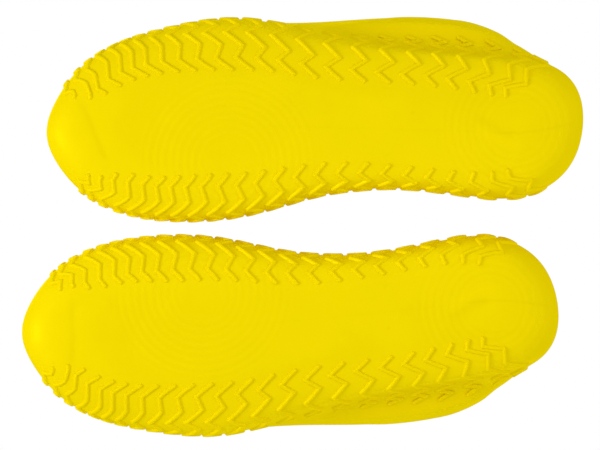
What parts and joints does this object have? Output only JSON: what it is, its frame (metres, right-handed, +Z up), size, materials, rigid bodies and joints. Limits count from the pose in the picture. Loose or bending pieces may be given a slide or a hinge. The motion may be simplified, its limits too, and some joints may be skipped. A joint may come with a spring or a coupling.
{
  "type": "waterproof silicone shoe cover pair",
  "caption": "Pair of stretchy moulded silicone overshoes with ribbed soles, closed toes and soft ankle collars, pulled over shoes to keep them dry.",
  "frame": {"origin": "on the ground, under the middle of the pair's bounding box", "axes": "+Z up; +Y from the toes to the heels; +X to the wearer's left, so the left cover stands at +X"},
  "size_m": [0.2188, 0.2968, 0.1223],
  "materials": {
    "upper": "satin translucent yellow silicone",
    "tread": "satin translucent yellow silicone with moulded relief"
  },
  "bodies": {
    "left_rear": {"left_flex_band": "upper", "left_arch_sole": "tread", "left_heel_sole": "tread", "left_instep": "upper", "left_lateral_quarter": "upper", "left_medial_quarter": "upper", "left_heel_counter": "upper", "left_collar": "upper", "left_collar_bead": "upper", "left_flex_ribs": "tread", "left_lateral_rear_ribs": "tread", "left_medial_rear_ribs": "tread"},
    "left_forefoot": {"left_toe_sole": "tread", "left_toe_cap": "upper", "left_lateral_toe_ribs": "tread", "left_medial_toe_ribs": "tread"},
    "right_rear": {"right_flex_band": "upper", "right_arch_sole": "tread", "right_heel_sole": "tread", "right_instep": "upper", "right_lateral_quarter": "upper", "right_medial_quarter": "upper", "right_heel_counter": "upper", "right_collar": "upper", "right_collar_bead": "upper", "right_flex_ribs": "tread", "right_lateral_rear_ribs": "tread", "right_medial_rear_ribs": "tread"},
    "right_forefoot": {"right_toe_sole": "tread", "right_toe_cap": "upper", "right_lateral_toe_ribs": "tread", "right_medial_toe_ribs": "tread"}
  },
  "joints": [
    {"name": "left_toe_flex", "type": "hinge", "parent": "left_rear", "child": "left_forefoot", "pos_m": [0.0519, -0.0317, 0.0012], "axis": [-1, 0, 0], "range_deg": [0, 30], "stiffness_Nm_per_rad": 0.3, "deforming": ["left_flex_band", "left_flex_ribs"]},
    {"name": "right_toe_flex", "type": "hinge", "parent": "right_rear", "child": "right_forefoot", "pos_m": [-0.0519, -0.0483, 0.0012], "axis": [-1, 0, 0], "range_deg": [0, 30], "stiffness_Nm_per_rad": 0.3, "deforming": ["right_flex_band", "right_flex_ribs"]},
    {"name": "right_cover_apart", "type": "slide", "parent": "left_rear", "child": "right_rear", "axis": [-1, 0, 0], "range_m": [0, 0.12]}
  ]
}
